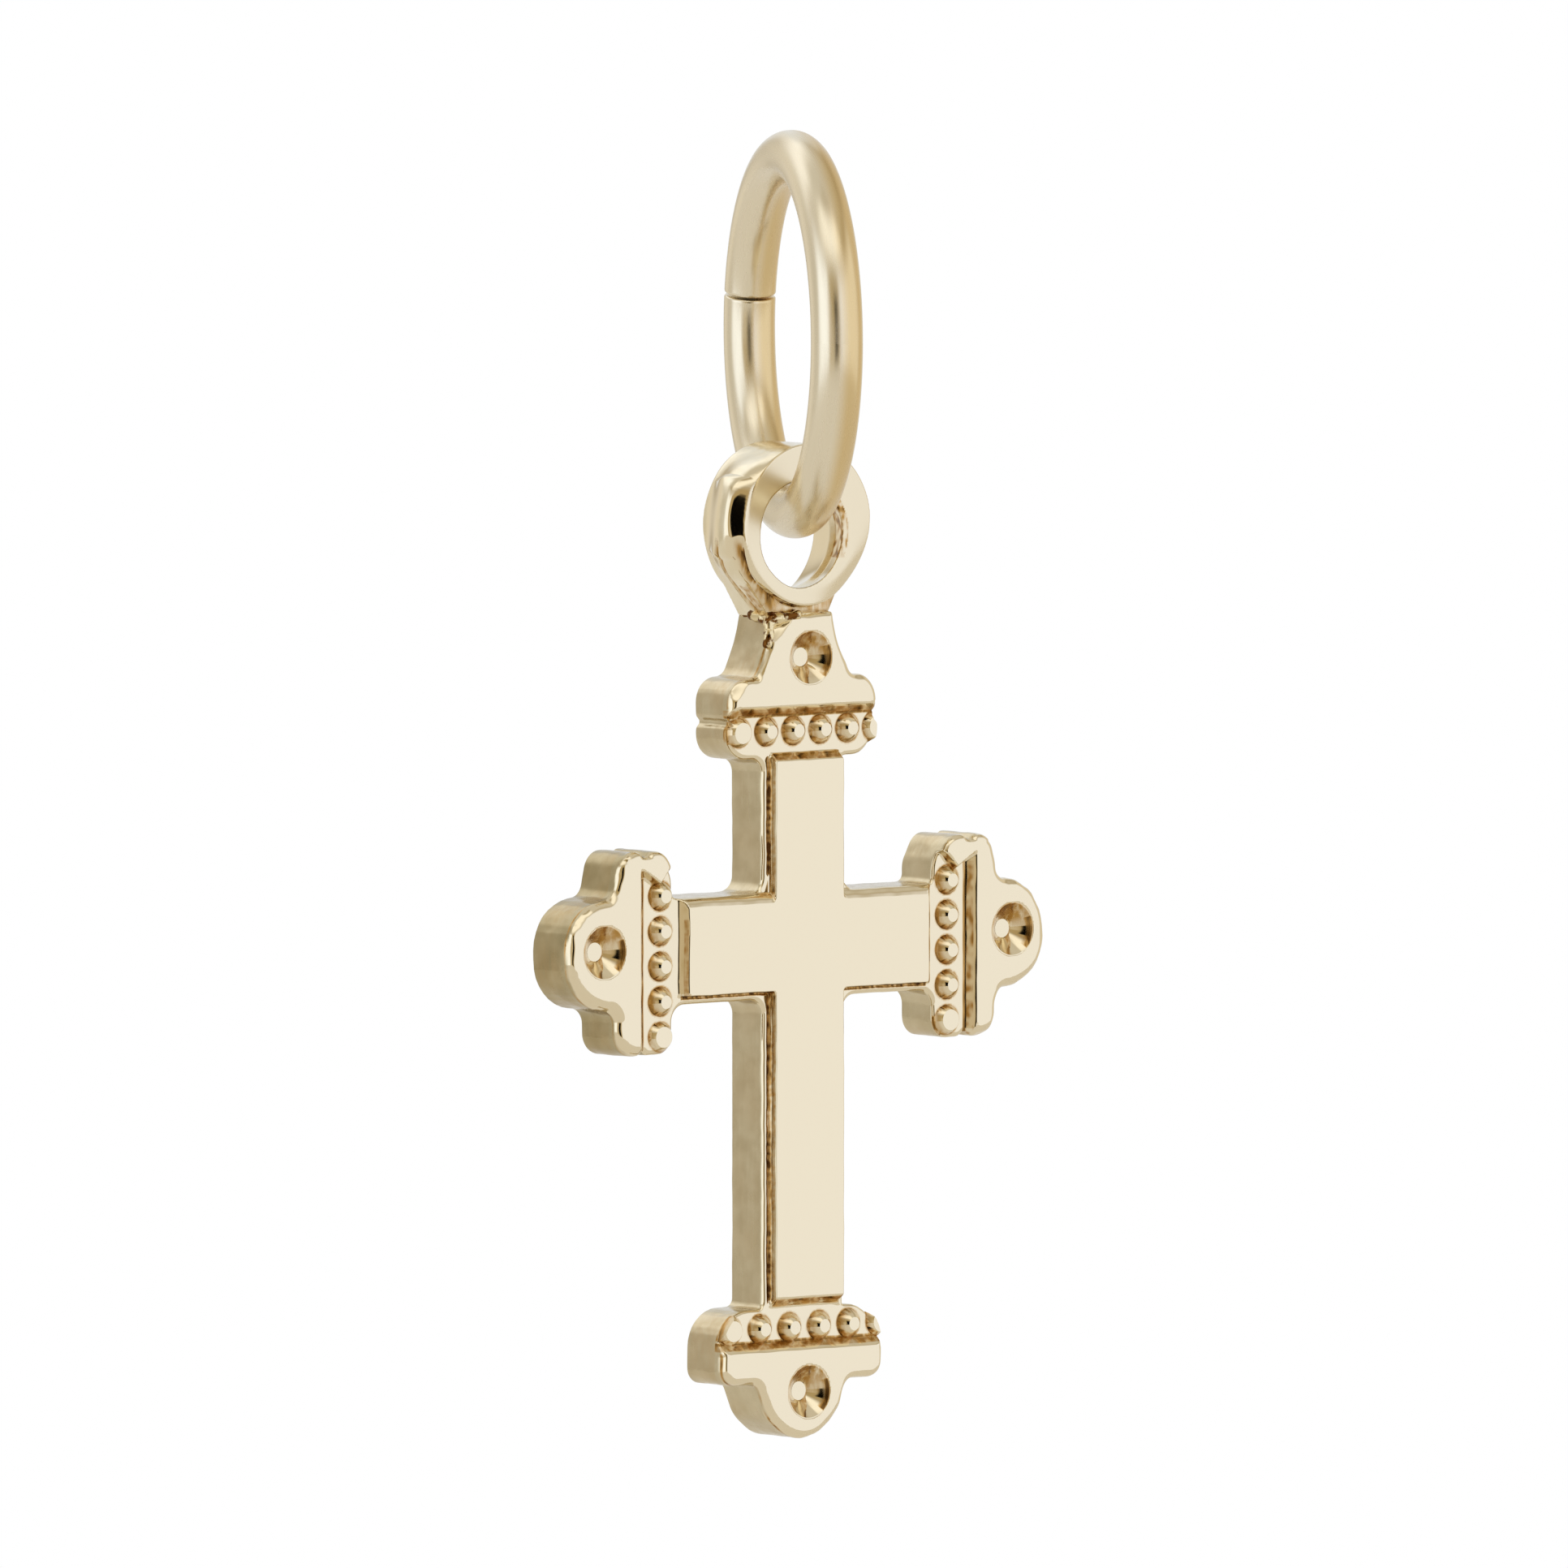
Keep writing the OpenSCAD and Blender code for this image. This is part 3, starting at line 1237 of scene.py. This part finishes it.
    def film_and_shade_on_bead(self, point: Vector) -> float:
        """Says how much polishing film and painted shade the side of a bead holds, most on its lower
        left.

        Args:
            point: A point on the bench.

        Returns:
            0 at the top, rising towards the foot.
        """
        for end in self.ends():
            for i, (x, y) in enumerate(self.bead_centres(end)):
                if math.hypot(point.x - x, point.y - y) < self.bead_foot + 0.05:
                    below = self.bead_top(i) - 0.03 - point.z
                    lean = math.atan2(point.y - y, point.x - x)
                    return min(0.9, max(0.0, below * 5)) * (0.85 - 0.35 * math.sin(lean + 0.6))
        return 0.0

    def build_beads(self) -> Obj:
        """Models the four rows of beads.

        Returns:
            The finished piece, still on the bench.
        """
        obj = Bench.join("bead_rows", [self.beads_of(end) for end in self.ends()])
        Bench.mark(obj, "film_and_shade", self.film_and_shade_on_bead)
        Bench.shade(obj)
        return obj


@dataclass
class BailLoop:
    """The flat round loop, its hole off centre, with the foot that meets the cross."""

    radius: float = 1.44
    back: float = -0.075
    front: float = 1.125
    hole: float = 0.98
    hole_at: Point = (-0.09, -0.16)
    mouth: float = 0.94
    mouth_shift: float = -0.075
    flare: float = 0.23
    flare_depth: float = 0.7
    front_rim: float = 0.01
    bulge: float = 0.21
    facet: float = 0.18
    crease: float = 0.10
    wall_from: float = 1.25
    # Angles round the loop, in degrees: the creases' ends, and a middle and half width each
    crease_span: Point = (-70, -6)
    facet_at: Point = (7, 28)
    worn_at: Point = (-44, 52)
    worn_from: float = 1.12
    worn: float = 0.13
    foot_front: float = 0.92
    foot_rim: float = 0.12
    neck: float = 0.69
    neck_y: float = -1.62
    voxel: float = 0.021
    passes: int = 3

    def disc(self) -> Obj:
        """Raises the disc, its outer wall crowned.

        Returns:
            The disc.
        """
        r = self.radius
        return Bench.lathe(
            "disc",
            [
                (r - 0.015, self.back),
                (r, self.back + 0.02),
                (r, self.front - 0.22),
                (r - 0.01, self.front - 0.03),
                (r - 0.02, self.front),
            ],
        )

    def swell(self, depth: float, lean: float) -> float:
        """Gives the outline of the swollen wall at the left of the loop.

        The wall starts as an oval facet that slopes back from the front face, rounds over
        and then falls back to the disc.

        Args:
            depth: How far behind the front face.
            lean: Angle round the loop above its left, in degrees.

        Returns:
            How far the wall stands out from the disc.
        """
        slope = self.bulge / self.facet
        peak = self.bulge * 1.28
        middle, wide = self.facet_at
        facet = self.facet * max(0.0, 1 - ((lean - middle) / wide) ** 2) ** 0.8
        over = min(0.5, 3 * (peak / slope - facet))
        peak = slope * (facet + over / 3)
        if depth < facet:
            return slope * max(0.0, depth)
        if depth < facet + over:
            left = 1 - (depth - facet) / over
            return peak - slope * over / 3 * left**3
        fall = (depth - facet - over) / (self.front - self.back - facet - over)
        return peak * 0.5 * (1 + math.cos(math.pi * min(1.0, fall)))

    def lean_of(self, point: Vector) -> float:
        """Gives the angle of a point round the loop above its left, in degrees."""
        return math.degrees(math.atan2(point.y, -point.x))

    def crease_at(self, point: Vector) -> float:
        """Says how deep the two creases below the swollen wall are at a point.

        Args:
            point: A point on the bench.

        Returns:
            0 outside the creases, 1 in the middle of one.
        """
        lean = self.lean_of(point)
        low, high = self.crease_span
        if math.hypot(point.x, point.y) < self.wall_from or point.x > 0 or not low < lean < high:
            return 0.0
        way = (high - lean) / (high - low)
        ends = min(1.0, way * 6) * min(1.0, (1 - way) * 6)
        deepest = 0.0
        bent = 0.60 - 0.15 * math.sin(math.pi * way)
        for line, half in ((bent, 0.08), (1.03 - 0.14 * way, 0.075)):
            gap = abs(point.z - line) / half
            if gap < 1:
                deepest = max(deepest, ends * (1 - gap * gap) ** 2)
        return deepest

    def film_and_shade(self, point: Vector) -> float:
        """Says how much film and painted shade a point holds: in the creases, on a patch at the lower
        left, at the foot and in the bore.

        Args:
            point: A point on the bench.

        Returns:
            0 for clean metal, 1 for the bottom of a crease.
        """
        held = self.crease_at(point)
        patch = max(0.0, 0.55 + 1.2 * noise.noise(point * 9))
        # Painted shade on a patch below the swollen left wall
        if point.x < 0 and -66 < self.lean_of(point) < -42 and 0.6 < point.z < 0.95:
            held = max(held, 0.5 * patch)
        # Painted shade on the front of the foot, below the disc
        if point.y < -1.0 and point.z > 0.7 and math.hypot(point.x, point.y) > self.radius + 0.01:
            held = max(held, 0.22 + 0.2 * patch)
        x, y = point.x - self.hole_at[0], point.y - self.hole_at[1]
        in_bore = math.hypot(x, y) < self.hole + 0.02 and point.z > self.front - 0.34
        # Painted shade on the right side of the bore, near the front
        if in_bore and point.x > 0.6 and -0.45 < y < 0.75:
            held = max(held, 0.8 * patch)
        return held

    def carve(self, point: Vector) -> Vector:
        """Swells the wall at the left and creases it below, as hammering left it.

        Args:
            point: A point on the bench.

        Returns:
            Its move.
        """
        wave = noise.noise_vector(point * 1.6 + Vector((5, 0, 0))) * 0.012
        wave.z = 0.0
        out = Vector((point.x, point.y, 0))
        size = out.length
        # The wheel has rounded the front edge at the lower right
        middle, wide = self.worn_at
        low_right = 1 - abs(math.degrees(math.atan2(point.y, point.x)) - middle) / wide
        if low_right > 0 and size > self.worn_from and point.z > 0.4:
            worn = min(1.0, (size - self.worn_from) / 0.32) ** 1.5 * (point.z - 0.4) / 0.72
            wave.z = -self.worn * worn * low_right * low_right * (3 - 2 * low_right)
        if size < self.wall_from or point.x > 0:
            return wave
        out.normalize()
        lean = self.lean_of(point)
        reach = clamp((72 + (lean - 4)) / 46 if lean < 4 else (58 - (lean - 4)) / 38)
        share = reach * reach * (3 - 2 * reach)
        rim = clamp((size - 1.30) / 0.1)
        amount = share * rim * self.swell(self.front - point.z, lean)
        return wave + out * (amount - self.crease * self.crease_at(point))

    def foot(self) -> Obj:
        """Raises the foot that spreads the loop into the cross.

        Returns:
            The foot.
        """
        outline = [
            (-1.19, -0.80),
            (1.22, -0.75),
            (self.neck, self.neck_y),
            (-self.neck, self.neck_y),
        ]
        foot = Bench.prism("foot", outline, 0.02, self.foot_front)
        Bench.soften(foot, at_front, self.foot_rim)
        return foot

    def cutter(self) -> Obj:
        """Makes the tool that bores the hole, flared at the back.

        Returns:
            The cutter.
        """
        slope = self.flare / self.flare_depth
        rows = [
            (self.hole + self.flare + slope * 0.1, self.back - 0.1),
            (self.hole, self.back + self.flare_depth),
            (self.hole, self.front - 0.3),
            (self.mouth, self.front - self.front_rim),
            (self.mouth + self.front_rim, self.front),
            (self.mouth + self.front_rim + 0.1, self.front + 0.1),
        ]
        bore = Bench.turn(Bench.lathe("bore", rows), 0, self.hole_at)
        for vertex in bore.data.vertices:
            # The mouth of the bore lies a little further left
            near = max(0.0, (vertex.co.z - self.front + 0.3) / 0.3)
            vertex.co.x += self.mouth_shift * min(1.0, near)
        return bore

    def build(self) -> Obj:
        """Models the loop.

        Returns:
            The finished piece, still on the bench, the loop's centre at the origin.
        """
        disc = self.disc()
        foot = self.foot()
        for part in (disc, foot):
            Bench.combine(part, self.cutter(), Cut.OUTSIDE)
        obj = Bench.join("bail_loop", [disc, foot])
        Bench.melt(obj, self.voxel)
        Bench.mark(obj, "film_and_shade", self.film_and_shade)
        Bench.sculpt(obj, self.carve)
        Bench.polish(obj, self.passes)
        return obj


@dataclass
class SolderJoint:
    """The solder between the loop and the cross: a thin seam and a lumpy spill at its left."""

    half: float = 0.675
    low: float = -1.66
    high: float = -1.56
    back: float = 0.06
    front: float = 0.97
    soft: float = 0.04
    corner: Row = (-0.70, -1.66, 0.90)
    lump: float = 0.115
    voxel: float = 0.028

    def seam(self) -> Obj:
        """Raises the thin seam.

        Returns:
            The seam.
        """
        half, soft = self.half, self.soft
        corners = [(-half, self.low, soft), (half, self.low, soft)]
        corners += [(half, self.high, soft), (-half, self.high, soft)]
        return Bench.prism("seam", rounded(corners), self.back, self.front)

    def spill(self) -> list[Obj]:
        """Drops lumps of solder round the left front corner and down the edge.

        Returns:
            The lumps.
        """
        corner = Vector(self.corner)
        tracks = (
            (Vector((-0.70, -1.60, 0.42)), corner, 7),
            (corner, Vector((-0.16, -1.60, 0.99)), 8),
            (corner, Vector((-0.79, -2.08, 0.93)), 7),
        )
        lumps = []
        for start, finish, count in tracks:
            for i in range(count):
                middle = start.lerp(finish, i / (count - 1))
                middle += noise.noise_vector(middle * 11) * 0.03
                size = self.lump * (0.75 + 0.5 * abs(noise.noise(middle * 17)))
                bpy.ops.object.select_all(action="DESELECT")
                bpy.ops.mesh.primitive_ico_sphere_add(subdivisions=3, radius=size, location=middle)
                lumps.append(bpy.context.active_object)
        return lumps

    def carve(self, point: Vector) -> Vector:
        """Gives a point of the solder the small move that roughens it."""
        return noise.noise_vector(point * 7) * 0.02

    def build(self) -> Obj:
        """Models the solder.

        Returns:
            The finished piece, still on the bench, the loop's centre at the origin.
        """
        obj = Bench.join("solder_joint", [self.seam(), *self.spill()])
        Bench.melt(obj, self.voxel)
        Bench.sculpt(obj, self.carve)
        Bench.polish(obj, 2)
        return obj


@dataclass
class JumpRing:
    """The split ring of round wire."""

    radius: float = 3.14
    wire: float = 0.457
    turn: float = math.radians(90 - 25.8)
    split_at: float = math.radians(10)
    gap: float = 0.05
    soft: float = 0.04
    round_steps: int = 64
    ring_steps: int = 300

    def build(self) -> Obj:
        """Spins a round section into the ring and softens its two cut ends.

        Returns:
            The finished piece in millimetres, in the frame's own axes.
        """
        obj = Bench.sheet("split_ring", circle(self.wire, self.round_steps), 0.0)
        quarter = Matrix.Rotation(math.radians(90), 4, "X")
        obj.data.transform(Matrix.Translation((self.radius, 0, 0)) @ quarter)
        Bench.edit(obj)
        bpy.ops.mesh.spin(
            steps=self.ring_steps,
            angle=math.tau - self.gap / self.radius,
            center=(0, 0, 0),
            axis=(0, 0, 1),
        )
        bpy.ops.mesh.select_all(action="SELECT")
        bpy.ops.mesh.remove_doubles(threshold=0.0005)
        Bench.close_up()
        Bench.soften(obj, lambda face: len(face.vertices) > 4, self.soft)
        start = Matrix.Rotation(self.split_at, 4, "Z")
        upright = Matrix.Rotation(self.turn, 4, "Z") @ quarter
        obj.data.transform(Matrix.Translation((0, 0, self.wire - self.radius)) @ upright @ start)
        Bench.pick(obj)
        bpy.ops.object.shade_smooth()
        return obj


@dataclass(frozen=True)
class Glow:
    """A soft-edged panel of the light tent, by direction from the charm."""

    azimuth: float
    elevation: float
    half_width: float
    half_height: float
    colour: str
    strength: float
    soft: float = 8.0


@dataclass
class Studio:
    """A light tent round the charm, a pale floor, a white backdrop and the camera."""

    azimuth: float = -40.0
    elevation: float = 3.7
    distance: float = 0.5
    lens: float = 652.2
    aim: Point = (-0.156, -10.597)
    paper_away: float = 1.2
    floor_wide: float = 0.45
    floor_level: float = -0.12

    def camera(self) -> None:
        """Sets the camera at the photograph's angle."""
        a = math.radians(self.azimuth)
        e = math.radians(self.elevation)
        out = Vector((math.sin(a) * math.cos(e), -math.cos(a) * math.cos(e), math.sin(e)))
        right = Vector((math.cos(a), math.sin(a), 0))
        up = out.cross(right)
        target = (right * self.aim[0] + up * self.aim[1]) * MM
        data = bpy.data.cameras.new("camera")
        data.lens = self.lens
        data.sensor_width = 36
        data.clip_start = 0.01
        camera = bpy.data.objects.new("camera", data)
        bpy.context.scene.collection.objects.link(camera)
        camera.location = target + out * self.distance
        camera.rotation_euler = (-out).to_track_quat("-Z", "Y").to_euler()
        bpy.context.scene.camera = camera

    def panels(self) -> list[Glow]:
        """Lists the panels of the tent.

        Returns:
            The panels, later ones over earlier ones.
        """
        return [
            Glow(0, -68, 180, 24, "D4C6A4", 0.92, 16),
            Glow(140, 68, 120, 22, "F4F0E8", 0.78, 16),
            Glow(-155, -6, 36, 44, "F6F1E8", 0.72, 22),
            Glow(-174, -4, 15, 30, "F6F1E8", 0.92, 24),
            Glow(-140, -44, 22, 12, "FFFFFF", 1.3, 22),
            Glow(184, 42, 34, 14, "F4F6FC", 1.4, 24),
            Glow(140, 10, 18, 30, "F4F8FF", 0.95, 10),
            Glow(98, -6, 24, 40, "F0E8D8", 0.92, 12),
            Glow(-94, -22, 30, 56, "EAF1FF", 1.5, 18),
            Glow(22, -11, 50, 47, "EBF0FF", 1.29, 18),
            Glow(-42, 57, 62, 14, "FFFFFF", 1.25, 18),
            Glow(-50, 6, 24, 28, "D2BE94", 0.8, 10),
            Glow(-58, -3, 7, 12, "DDD0B8", 0.92, 7),
            Glow(-25, -57, 34, 8, "FFF4DE", 1.15, 7),
            Glow(-20, -66, 90, 4.5, "5E431F", 0.8, 5),
            Glow(-41, 6, 7.5, 18, "050403", 1.0, 3),
        ]

    def tent(self) -> None:
        """Builds the light tent as the world."""
        world = bpy.data.worlds.new("tent")
        bpy.context.scene.world = world
        shader = Shader(world)
        axes = shader.add("SeparateXYZ", {0: shader.add("TexCoord").outputs["Generated"]})
        flipped = shader.add("Math", {0: axes.outputs["Y"], 1: -1.0}, operation="MULTIPLY")
        azimuth = shader.add("Math", {0: axes.outputs["X"], 1: flipped}, operation="ARCTAN2")
        elevation = shader.add("Math", {0: axes.outputs["Z"]}, operation="ARCSINE")
        colour = linear("D8CCB4", 0.75)
        for glow in self.panels():
            mask = self.mask(shader, azimuth, elevation, glow)
            links = {0: mask, 6: colour, 7: linear(glow.colour, glow.strength)}
            colour = shader.add("Mix", links, data_type="RGBA").outputs[2]
        light = shader.add("Background", {"Color": colour, "Strength": 1.0})
        shader.add("OutputWorld", {0: light})

    @staticmethod
    def mask(shader: Shader, azimuth: Node, elevation: Node, glow: Glow) -> Node:
        """Masks one panel by direction.

        Args:
            shader: The world's tree.
            azimuth: Azimuth of the direction, in radians.
            elevation: Elevation of the direction, in radians.
            glow: The panel.

        Returns:
            A node whose output is 1 in the panel and 0 outside.
        """
        centre = math.radians(glow.azimuth)
        shifted = shader.add("Math", {0: azimuth, 1: centre}, operation="SUBTRACT")
        wrapped = shader.add("Math", {0: shifted, 1: math.pi, 2: -math.pi}, operation="WRAP")
        masks = []
        for angle, middle, half in (
            (wrapped, 0.0, glow.half_width),
            (elevation, math.radians(glow.elevation), glow.half_height),
        ):
            off = shader.add("Math", {0: angle, 1: middle}, operation="SUBTRACT")
            links = {
                "Value": shader.add("Math", {0: off}, operation="ABSOLUTE"),
                "From Min": math.radians(half + glow.soft / 2),
                "From Max": math.radians(max(half - glow.soft / 2, 0.1)),
            }
            masks.append(shader.add("MapRange", links, interpolation_type="SMOOTHSTEP"))
        return shader.add("Math", {0: masks[0], 1: masks[1]}, operation="MULTIPLY")

    def backdrop(self) -> None:
        """Hangs a white seamless paper far behind and lays a pale floor far below."""
        bpy.ops.object.select_all(action="DESELECT")
        bpy.ops.mesh.primitive_uv_sphere_add(segments=48, ring_count=24, radius=self.paper_away)
        paper = bpy.context.active_object
        paper.name = "backdrop"
        # White seamless paper, lit evenly so that it photographs as pure white
        shader = Shader(bpy.data.materials.new("seamless_paper"))
        glow = shader.add("Emission", {"Color": linear("FFFFFF"), "Strength": 1.0})
        shader.add("OutputMaterial", {0: glow})
        paper.data.materials.append(shader.owner)
        paper.visible_glossy = False
        paper.visible_diffuse = False
        paper.visible_shadow = False
        bpy.ops.object.select_all(action="DESELECT")
        bpy.ops.mesh.primitive_circle_add(vertices=64, radius=self.floor_wide, fill_type="NGON")
        floor = bpy.context.active_object
        floor.name = "floor"
        floor.data.transform(Matrix.Translation((0, 0, self.floor_level)))
        # Pale matt laminate
        shader = Shader(bpy.data.materials.new("pale_laminate"))
        matt = shader.add("BsdfPrincipled", {"Base Color": linear("F4F2EE"), "Roughness": 0.7})
        shader.add("OutputMaterial", {0: matt})
        floor.data.materials.append(shader.owner)

    def build(self) -> None:
        """Sets up the whole studio."""
        self.camera()
        self.tent()
        self.backdrop()
        bpy.context.scene.view_settings.view_transform = "Standard"


@dataclass
class Charm:
    """The whole charm, placed by the frame's joint and mounts."""

    frame: dict
    casting: CrossCasting
    bail: BailLoop
    solder: SolderJoint
    ring: JumpRing
    cross_from_loop: Row = (0.10, 0.0, -7.35)

    def places(self) -> tuple[Vector, Vector]:
        """Works out where the bench's origins go.

        Returns:
            Place of the cross's centre and of the loop's centre, in metres.
        """
        hole = Vector(self.frame["joints"][0]["pos_m"])
        mounts = {m["name"]: m for m in self.frame["record"]["mounts"]}
        back = mounts["back_face"]["pos_m"][1]
        off = self.bail.hole_at
        loop = Vector((hole.x - off[0] * MM, back, hole.z - off[1] * MM))
        return loop + Vector(self.cross_from_loop) * MM, loop

    @staticmethod
    def dress(obj: Obj, material: bpy.types.Material, slot: str, body: Body) -> None:
        """Gives a piece its material and its body.

        Args:
            obj: The piece.
            material: Its material.
            slot: The record's material slot; not used.
            body: The body that it rides on.
        """
        obj.data.materials.clear()
        obj.data.materials.append(material)
        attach(obj, body.value)
        LOG.info("%s: %d faces, rides on %s", obj.name, len(obj.data.polygons), body.value)

    def solder_on(self, obj: Obj, place: Vector, material: bpy.types.Material) -> None:
        """Stands a piece of the soldered pendant in its place and dresses it."""
        Bench.stand(obj, place)
        self.dress(obj, material, "polished_casting", Body.PENDANT)

    def build(self) -> None:
        """Models, places and dresses every piece."""
        cross_at, loop_at = self.places()
        gold = CastGold().build()
        # A darker copy of the same gold, which paints the left end darker
        darker_gold = CastGold(name="darker_cast_gold", skin="B9AA84", shade="93835A").build()
        # A lighter copy of the gold for the loop, whose lighter skin paints highlights on its walls
        bright = CastGold(
            name="lightened_loop_gold",
            skin="EEE3C6",
            shade="DCCBA2",
            face_roughness=0.3,
            satin_roughness=0.2,
        ).build()
        for piece in self.casting.build():
            self.solder_on(piece, cross_at, darker_gold if piece.name == "left_end" else gold)
            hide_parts("cross_pendant")
        self.solder_on(self.casting.build_dimples(), cross_at, gold)
        self.solder_on(self.casting.build_beads(), cross_at, gold)
        self.solder_on(self.bail.build(), loop_at, bright)
        self.solder_on(self.solder.build(), loop_at, SolderSeam().build())

        ring = self.ring.build()
        ring.data.transform(Matrix.Scale(MM, 4))
        centre = Vector((0, 0, (self.ring.wire - self.ring.radius) * MM))
        self.dress(ring, DrawnWire().build(centre, self.ring.turn), "drawn_wire", Body.RING)
        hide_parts("jump_ring")


def main() -> None:
    """Builds the scene."""
    logging.basicConfig(level=logging.INFO, format="%(name)s: %(message)s")
    # Without a seed the noise vectors change with the clock
    noise.seed_set(SEED)
    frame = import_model()
    Studio().build()
    Charm(frame, CrossCasting(), BailLoop(), SolderJoint(), JumpRing()).build()


if __name__ == "__main__":
    main()
